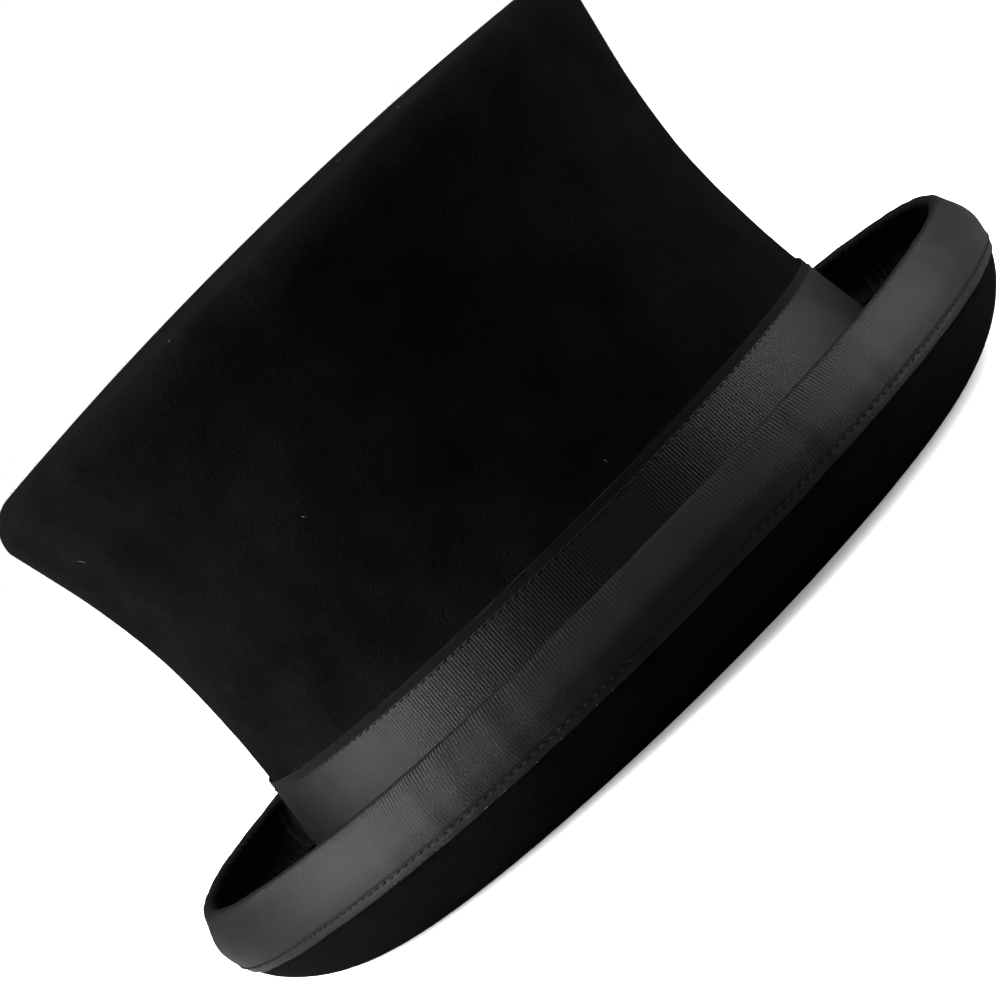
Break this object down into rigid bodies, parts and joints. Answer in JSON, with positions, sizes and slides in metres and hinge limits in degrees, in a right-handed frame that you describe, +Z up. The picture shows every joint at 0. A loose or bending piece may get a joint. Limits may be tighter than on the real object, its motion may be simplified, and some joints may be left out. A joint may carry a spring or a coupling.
{
  "type": "top hat",
  "caption": "Felt top hat with a tall oval crown, ribbed ribbon band with a side bow, curled brim bound in ribbon, leather sweatband and satin lining.",
  "frame": {"origin": "on the vertical axis of the head oval, in the plane that the brim rests on", "axes": "+Z up through the crown, -Y towards the front of the hat, +Y the back, +X the wearer's left"},
  "size_m": [0.2798, 0.2976, 0.1663],
  "materials": {
    "felt": "dense brushed wool felt",
    "band_ribbon": "ribbed grosgrain ribbon with a soft sheen",
    "binding_ribbon": "ribbed grosgrain ribbon with a soft sheen",
    "thread": "twisted black sewing thread",
    "lining_satin": "pale satin",
    "piping_cord": "satin-covered cord",
    "sweatband_leather": "fine-grained dark leather",
    "reed": "matt extruded cord",
    "sweatband_stitching": "twisted sewing thread",
    "seam_tape": "fine-grained dark leather",
    "inner_ribbon": "narrow ribbed ribbon",
    "woven_tab": "blank woven tape"
  },
  "bodies": {
    "root": {"felt_body": "felt", "hatband": "band_ribbon", "hatband_thread": "thread", "bow_base": "band_ribbon", "bow_loops": "band_ribbon", "bow_knot": "band_ribbon", "brim_binding": "binding_ribbon", "binding_thread": "thread", "lining_side": "lining_satin", "lining_tip": "lining_satin", "lining_piping": "piping_cord", "sweatband": "sweatband_leather", "sweatband_reed": "reed", "sweatband_thread": "sweatband_stitching", "sweatband_seam": "seam_tape", "sweatband_bow": "inner_ribbon", "size_tab": "woven_tab"}
  },
  "joints": []
}
